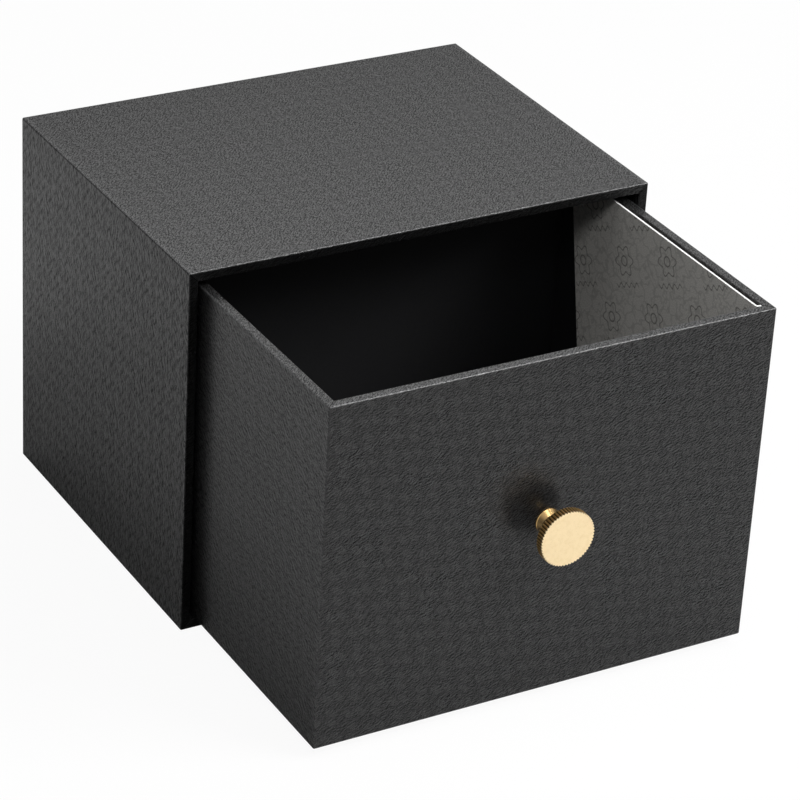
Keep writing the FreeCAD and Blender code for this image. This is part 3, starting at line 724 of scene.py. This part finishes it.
@dataclass(frozen=True)
class PrintedCard:
    """Pale card printed with a faint net of waves and a scatter of outlined rosettes, with a white core."""

    name: str = "printed card"
    face: Colour = (0.76, 0.745, 0.71)
    line: Colour = (0.48, 0.47, 0.445)
    motif: Colour = (0.17, 0.165, 0.15)
    shadow: Colour = (0.54, 0.525, 0.495)
    core: Colour = (0.93, 0.93, 0.92)
    pitch: float = 27.0
    row_pitch: float = 19.44
    row_middle: float = 11.88
    slant: float = math.radians(-24.0)
    petals: float = 6.0
    petal_radius: float = 4.6
    petal_swell: float = 0.9
    heart_radius: float = 1.7
    rule_half: float = 7.0
    rule_drop: float = 8.3
    wave_height: float = 0.75
    wave_turn: float = 1.9
    front_light_from: float = -146.0
    front_light_to: float = -90.0
    front_light_gain: float = 1.15

    def motif_mask(self, canvas: Canvas, along: Socket, up: Socket) -> Socket:
        """Mask of the rosettes and the wavy rules under them.

        Args:
            canvas: Canvas on the card's tree.
            along: Place along the card, in millimetres.
            up: Place up the card, in millimetres.

        Returns:
            1 on the printed lines and 0 beside them.
        """
        level, rise = math.cos(self.slant), math.sin(self.slant)
        turned_x = canvas.math(
            "ADD", canvas.math("MULTIPLY", along, level), canvas.math("MULTIPLY", up, rise)
        )
        turned_y = canvas.math(
            "SUBTRACT", canvas.math("MULTIPLY", up, level), canvas.math("MULTIPLY", along, rise)
        )
        row = canvas.math("FLOOR", canvas.math("DIVIDE", turned_y, self.row_pitch))
        odd = canvas.math("FLOORED_MODULO", row, 2.0)
        slid = canvas.math("ADD", turned_x, canvas.math("MULTIPLY", odd, self.pitch * 0.5))
        cell_x = canvas.math("SUBTRACT", canvas.math("FLOORED_MODULO", slid, self.pitch), self.pitch * 0.5)
        cell_y = canvas.math("FLOORED_MODULO", turned_y, self.row_pitch)
        cell_y = canvas.math("SUBTRACT", cell_y, self.row_middle)
        radius = canvas.vector("LENGTH", canvas.join(cell_x, cell_y, 0.0))
        turn = canvas.math("MULTIPLY", canvas.math("ARCTAN2", cell_y, cell_x), self.petals)
        swell = canvas.math("MULTIPLY", canvas.math("COSINE", turn), self.petal_swell)
        petals = canvas.math("ADD", swell, self.petal_radius)
        outline = canvas.math("ABSOLUTE", canvas.math("SUBTRACT", radius, petals))
        heart = canvas.math("ABSOLUTE", canvas.math("SUBTRACT", radius, self.heart_radius))
        wave = canvas.math("SINE", canvas.math("MULTIPLY", cell_x, self.wave_turn))
        wave = canvas.math("ADD", canvas.math("MULTIPLY", wave, self.wave_height), -self.rule_drop)
        rule = canvas.math("ABSOLUTE", canvas.math("SUBTRACT", cell_y, wave))
        inside = canvas.math("LESS_THAN", canvas.math("ABSOLUTE", cell_x), self.rule_half)
        rule = canvas.math("ADD", rule, canvas.math("SUBTRACT", 1.0, inside))
        nearest = canvas.math("MINIMUM", outline, canvas.math("MINIMUM", heart, rule))
        return canvas.math("SUBTRACT", 1.0, canvas.step(nearest, 0.12, 0.42))

    def net_mask(self, canvas: Canvas, flat: Socket) -> Socket:
        """Mask of the faint net of curled lines, from the place on the card in millimetres."""
        bend = canvas.add("TexNoise")
        canvas.put(bend.inputs["Vector"], flat)
        canvas.put(bend.inputs["Scale"], 0.3)
        canvas.put(bend.inputs["Detail"], 1.0)
        shift = canvas.vector("SUBTRACT", bend.outputs["Color"], (0.5, 0.5, 0.5))
        waved = canvas.vector("ADD", flat, canvas.vector("SCALE", shift, 8.0))
        net = canvas.add("TexVoronoi", feature="DISTANCE_TO_EDGE", voronoi_dimensions="2D")
        canvas.put(net.inputs["Vector"], waved)
        canvas.put(net.inputs["Scale"], 0.19)
        lines = canvas.math("SUBTRACT", 1.0, canvas.step(net.outputs["Distance"], 0.02, 0.13))
        mottle = canvas.noise(flat, 1.5, 3.0)
        return canvas.math("MULTIPLY", lines, canvas.remap(mottle, 0.3, 0.7, 0.5, 1.0))

    def material(self) -> bpy.types.Material:
        """Build the card; its print is on both faces and its top edge is white."""
        material, canvas, shader = new_material(self.name)
        place = own_place(canvas)
        _, depth, up = canvas.split(canvas.vector("SCALE", place, 1.0 / MM))
        _, _, facing_up = canvas.split(canvas.vector("ABSOLUTE", own_facing(canvas)))
        flat = canvas.join(depth, up, 0.0)
        grit = canvas.noise(flat, 2.6, 2.0, 0.7)
        ground = canvas.mix(canvas.step(grit, 0.35, 0.65), self.shadow, self.face)
        tone = canvas.mix(self.net_mask(canvas, flat), ground, self.line)
        cover = canvas.remap(canvas.noise(flat, 5.0), 0.3, 0.7, 0.6, 1.0)
        ink = canvas.math("MULTIPLY", self.motif_mask(canvas, depth, up), cover)
        tone = canvas.mix(ink, tone, self.motif)
        # Painted light: the card is lighter towards its front end, where more light falls into the drawer.
        painted_front_light = canvas.remap(depth, self.front_light_from, self.front_light_to, self.front_light_gain, 1.0)
        tone = canvas.vector("SCALE", tone, painted_front_light)
        cut = canvas.math("GREATER_THAN", facing_up, 0.7)
        canvas.put(shader.inputs["Base Color"], canvas.mix(cut, tone, self.core))
        fibres = canvas.noise(place, 1500.0, 3.0, 0.6)
        canvas.put(shader.inputs["Roughness"], canvas.remap(fibres, 0.3, 0.7, 0.55, 0.68))
        canvas.put(shader.inputs["Specular IOR Level"], 0.35)
        canvas.put(shader.inputs["Normal"], bump(canvas, fibres, 0.02 * MM))
        return material


@dataclass(frozen=True)
class GoldBrass:
    """Polished gold-coloured brass with faint turning marks round the knob's axis."""

    centre: Vector
    name: str = "gold brass"
    face: Colour = (1.0, 0.795, 0.49)
    dulled: Colour = (0.93, 0.72, 0.425)
    painted_groove_shade: Colour = (0.09, 0.045, 0.012)
    crest: Colour = (0.80, 0.52, 0.21)
    foot: Colour = (0.64, 0.42, 0.18)
    # Painted shade on the back of the knob and under its foot.
    shade: Colour = (0.15, 0.10, 0.045)
    foot_from: float = -158.0
    foot_rim: tuple[float, float] = (4.25, 4.4)
    painted_tip_highlight: tuple[float, float] = (-161.5, -161.1)
    crest_radius: float = 9.75
    groove_depth: float = 0.42

    def knob_tone(self, canvas: Canvas, place: Socket, radius: Socket, flank: Socket) -> Socket:
        """Colour of the knob: its polished face, painted shade on its back and under its foot, and its
        knurled flank.

        Args:
            canvas: Canvas on the brass's tree.
            place: Place on the knob, in metres.
            radius: Distance from the knob's axis, in millimetres.
            flank: Mask of the knurled flank.

        Returns:
            The colour.
        """
        rub = canvas.noise(place, 700.0, 3.0)
        tone = canvas.mix(canvas.step(rub, 0.35, 0.9), self.face, self.dulled)
        _, along, _ = canvas.split(canvas.vector("SCALE", place, 1.0 / MM))
        _, backward, upward = canvas.split(own_facing(canvas))
        # Painted shade on the sides that face back towards the drawer.
        tone = canvas.mix(canvas.step(backward, 0.2, 0.5), tone, self.shade)
        # Painted shade under the foot; its upper side and its rim keep the foot's brass.
        lit = canvas.math("MAXIMUM", canvas.step(upward, 0.4, 0.8), canvas.step(radius, *self.foot_rim))
        under = canvas.mix(lit, self.shade, self.foot)
        on_foot = canvas.step(along, self.foot_from - 0.3, self.foot_from + 0.3)
        tone = canvas.mix(on_foot, tone, under)
        crest_from = self.crest_radius - 0.8 * self.groove_depth
        crest = canvas.step(radius, crest_from, self.crest_radius - 0.25 * self.groove_depth)
        # Painted highlights on the knurl's tips next to the face, in the face's colour.
        near_face = canvas.math("SUBTRACT", 1.0, canvas.step(along, *self.painted_tip_highlight))
        # Painted shade in the grooves between the knurl's crests.
        knurl = canvas.mix(crest, self.painted_groove_shade, self.crest)
        knurl = canvas.mix(canvas.math("MULTIPLY", crest, near_face), knurl, self.face)
        return canvas.mix(flank, tone, knurl)

    def material(self) -> bpy.types.Material:
        """Build the brass."""
        material, canvas, shader = new_material(self.name)
        place = own_place(canvas)
        x, _, z = canvas.split(canvas.vector("SUBTRACT", place, self.centre))
        radius = canvas.math("DIVIDE", canvas.vector("LENGTH", canvas.join(x, 0.0, z)), MM)
        turning = canvas.noise(canvas.join(radius, 0.0, 0.0), 9.0, 3.0, 0.7)
        _, facing_y, _ = canvas.split(canvas.vector("ABSOLUTE", own_facing(canvas)))
        groove_from = self.crest_radius - self.groove_depth
        turned = canvas.step(radius, groove_from - 0.35, groove_from - 0.1)
        flank = canvas.math("MULTIPLY", canvas.math("LESS_THAN", facing_y, 0.8), turned)
        canvas.put(shader.inputs["Base Color"], self.knob_tone(canvas, place, radius, flank))
        canvas.put(shader.inputs["Metallic"], 1.0)
        smooth = canvas.remap(turning, 0.3, 0.7, 0.14, 0.22)
        canvas.put(shader.inputs["Roughness"], canvas.blend(flank, smooth, 0.36))
        canvas.put(shader.inputs["Normal"], bump(canvas, turning, 0.006 * MM))
        return material


@dataclass(frozen=True)
class ZincSteel:
    """Zinc-plated steel of the washer and the screw."""

    name: str = "zinc plated steel"
    face: Colour = (0.66, 0.66, 0.65)
    spangle: Colour = (0.56, 0.57, 0.58)

    def material(self) -> bpy.types.Material:
        """Build the steel."""
        material, canvas, shader = new_material(self.name)
        place = own_place(canvas)
        spangles = canvas.noise(place, 900.0, 4.0, 0.6)
        tone = canvas.mix(canvas.step(spangles, 0.3, 0.7), self.face, self.spangle)
        canvas.put(shader.inputs["Base Color"], tone)
        canvas.put(shader.inputs["Metallic"], 1.0)
        canvas.put(shader.inputs["Roughness"], canvas.remap(spangles, 0.3, 0.7, 0.28, 0.42))
        canvas.put(shader.inputs["Normal"], bump(canvas, spangles, 0.01 * MM))
        return material


class Part:
    """A sub-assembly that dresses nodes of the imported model."""

    def __init__(self, nodes: dict[str, bpy.types.Object]) -> None:
        """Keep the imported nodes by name."""
        self.nodes = nodes

    def dress(self, name: str, material: bpy.types.Material) -> None:
        """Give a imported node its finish.

        Args:
            name: Name of the node.
            material: Its finish.
        """
        piece = self.nodes[name]
        piece.data.materials.clear()
        piece.data.materials.append(material)
        LOG.info("dressed %s with %s", name, material.name)


@dataclass
class Finishes:
    """Finishes that both boxes share."""

    board: bpy.types.Material
    lining: bpy.types.Material

    @classmethod
    def mixed(cls) -> "Finishes":
        """Build the shared finishes once."""
        return cls(board=Greyboard().material(), lining=LiningPaper().material())


class Case(Part):
    """The outer case: five boards, their covering and the lining of the cavity."""

    def build(self, finishes: Finishes) -> None:
        """Dress every piece of the case."""
        low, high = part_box("case_cover_paper")
        cover = EmbossedPaper(
            "case covering paper",
            low,
            high,
            round_the_top=1.0,
            # Painted light and shade: the mouth's rim takes painted shade, darker on its upright cheeks;
            # the crease paints a shade line and a highlight; the sides darken towards the foot and the top
            # lightens towards the front.
            rim=FoldedRim(axis=1, side=-1.0, gain=0.48, painted_cheek_shade=0.6),
            crease_shade_and_highlight=0.5,
            sides=(0.70, 1.02),
            top=(1.30, 0.82),
        )
        self.dress("case_cover_paper", cover.material())
        self.dress("case_back_paper", EmbossedPaper("case back panel", low, high).material())
        for side in ("top", "bottom", "left", "right", "back"):
            self.dress(f"case_{side}_board", finishes.board)
        for name in ("case_base_paper", "case_lining_paper"):
            self.dress(name, finishes.lining)


class Drawer(Part):
    """The drawer: five boards, their covering, the linings and the loose card."""

    def build(self, finishes: Finishes) -> None:
        """Dress every piece of the drawer."""
        low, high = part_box("drawer_cover_paper")
        cover = EmbossedPaper(
            "drawer covering paper",
            low,
            high,
            # The rim is lighter worn paper with painted shade on its upright cheeks; painted shade darkens
            # the sides towards the foot and the front, more towards the right.
            rim=FoldedRim(axis=2, side=1.0, gain=1.6, edge_wear_and_highlight_gain=1.5, painted_cheek_shade=0.8),
            sides=(0.8, 1.15),
            front=(0.95, 0.87),
            side_strokes=DRAWER_SIDE_STROKES,
            sheen=(0.07, 0.77),
        )
        self.dress("drawer_cover_paper", cover.material())
        for side in ("front", "back", "left", "right", "floor"):
            self.dress(f"drawer_{side}_board", finishes.board)
        for name in ("drawer_base_paper", "drawer_wall_lining", "drawer_floor_lining"):
            self.dress(name, finishes.lining)
        self.dress("side_card", PrintedCard().material())


class Knob(Part):
    """The turned knob with its screw and washer."""

    def build(self) -> None:
        """Dress the three metal pieces."""
        low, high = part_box("knob")
        self.dress("knob", GoldBrass((low + high) / 2).material())
        steel = ZincSteel().material()
        self.dress("knob_washer", steel)
        self.dress("knob_screw", steel)


@dataclass(frozen=True)
class SoftBox:
    """A rectangular studio lamp that points at the box."""

    name: str
    place: tuple[float, float, float]
    size: tuple[float, float]
    power: float
    aim: tuple[float, float, float] = (0.0, -0.05, 0.07)
    spread: float = 180.0
    in_mirrors: bool = True

    def build(self) -> None:
        """Hang the lamp."""
        data = bpy.data.lights.new(self.name, "AREA")
        data.shape = "RECTANGLE"
        data.size, data.size_y = self.size
        data.energy = self.power
        data.spread = math.radians(self.spread)
        lamp = bpy.data.objects.new(self.name, data)
        bpy.context.scene.collection.objects.link(lamp)
        lamp.location = self.place
        aim = Vector(self.aim) - lamp.location
        lamp.rotation_euler = aim.to_track_quat("-Z", "Y").to_euler()
        lamp.visible_glossy = self.in_mirrors
        lamp.visible_camera = False


@dataclass(frozen=True)
class PhotoCamera:
    """The camera that took the photograph, without shift or blur."""

    place: tuple[float, float, float] = (-0.519782, -0.926110, 0.617921)
    aim: tuple[float, float, float] = (0.003536, -0.0484, 0.059562)
    roll: float = math.radians(3.3313)
    lens: float = 154.2954
    sensor: float = 36.0

    def build(self) -> None:
        """Place the camera and make it the scene's own."""
        data = bpy.data.cameras.new("photo camera")
        data.lens = self.lens
        data.sensor_width = self.sensor
        data.clip_start, data.clip_end = 0.05, 20.0
        camera = bpy.data.objects.new("photo camera", data)
        bpy.context.scene.collection.objects.link(camera)
        camera.location = self.place
        look = (Vector(self.aim) - Vector(self.place)).to_track_quat("-Z", "Y")
        camera.rotation_euler = (look @ Euler((0.0, 0.0, self.roll)).to_quaternion()).to_euler()
        bpy.context.scene.camera = camera


class Studio:
    """Floor, world, lamps and camera."""

    half_width = 3.0
    floor_drop = 0.2 * MM
    floor_paint: Colour = (0.79, 0.79, 0.79)
    floor_glow = 1.01
    floor_glow_share = 0.93
    room_light = 0.13
    mirrored_room = 0.75

    def floor(self) -> None:
        """Lay the pale floor, which looks white to the camera and keeps a soft shadow."""
        mesh = bpy.data.meshes.new("studio floor")
        reach = self.half_width
        corners = [(-reach, -reach, 0.0), (reach, -reach, 0.0), (reach, reach, 0.0), (-reach, reach, 0.0)]
        mesh.from_pydata(corners, [], [(0, 1, 2, 3)])
        floor = bpy.data.objects.new("studio_floor", mesh)
        bpy.context.scene.collection.objects.link(floor)
        floor.location.z = -self.floor_drop
        material = bpy.data.materials.new("pale floor")
        material.use_nodes = True
        canvas = Canvas(material.node_tree)
        paint = canvas.add("BsdfDiffuse")
        canvas.put(paint.inputs["Color"], tint(self.floor_paint))
        glow = canvas.add("Emission")
        canvas.put(glow.inputs["Strength"], self.floor_glow)
        path = canvas.add("LightPath")
        blend = canvas.add("MixShader")
        share = canvas.math("MULTIPLY", path.outputs["Is Camera Ray"], self.floor_glow_share)
        canvas.put(blend.inputs[0], share)
        canvas.put(blend.inputs[1], paint.outputs[0])
        canvas.put(blend.inputs[2], glow.outputs[0])
        output = canvas.add("OutputMaterial")
        canvas.put(output.inputs["Surface"], blend.outputs[0])
        mesh.materials.append(material)

    def world(self) -> None:
        """Fill the room with soft light, white where the camera or a mirror sees it."""
        world = bpy.data.worlds.new("studio room")
        world.use_nodes = True
        bpy.context.scene.world = world
        canvas = Canvas(world.node_tree)
        path = canvas.add("LightPath")
        mirrored = (path.outputs["Is Glossy Ray"], path.outputs["Is Transmission Ray"])
        in_mirror = canvas.math("MAXIMUM", *mirrored)
        room = canvas.add("Background")
        canvas.put(room.inputs["Color"], (1.0, 1.0, 1.0, 1.0))
        strength = canvas.blend(in_mirror, self.room_light, self.mirrored_room)
        strength = canvas.blend(path.outputs["Is Camera Ray"], strength, 1.0)
        canvas.put(room.inputs["Strength"], strength)
        output = canvas.add("OutputWorld")
        canvas.put(output.inputs["Surface"], room.outputs[0])

    def build(self) -> None:
        """Set up the whole studio."""
        self.floor()
        self.world()
        for lamp in (
            SoftBox("key soft box", (0.8, -0.85, 1.2), (0.8, 0.8), 23.0),
            SoftBox("overhead soft box", (0.0, -0.08, 1.67), (0.8, 0.8), 8.2),
            SoftBox("back soft box", (0.40, 0.95, 1.15), (0.8, 0.8), 1.3),
            SoftBox(
                "drawer lamp",
                (-0.55, -0.88, 0.95),
                (0.3, 0.3),
                0.065,
                aim=(0.076, -0.155, 0.11),
                spread=20.0,
                in_mirrors=False,
            ),
        ):
            lamp.build()
        PhotoCamera().build()
        LOG.info("studio ready")


def corners(box: tuple[Vector, Vector]) -> list[list[float]]:
    """Two corners as plain lists."""
    return [list(box[0]), list(box[1])]


def main() -> None:
    """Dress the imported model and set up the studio."""
    logging.basicConfig(level=logging.INFO, format="%(name)s: %(message)s")
    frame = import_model()
    scene = bpy.context.scene
    scene.view_settings.view_transform = "Standard"
    finishes = Finishes.mixed()
    nodes = frame["nodes"]
    Case(nodes).build(finishes)
    Drawer(nodes).build(finishes)
    Knob(nodes).build()
    Studio().build()


if __name__ == "__main__":
    main()
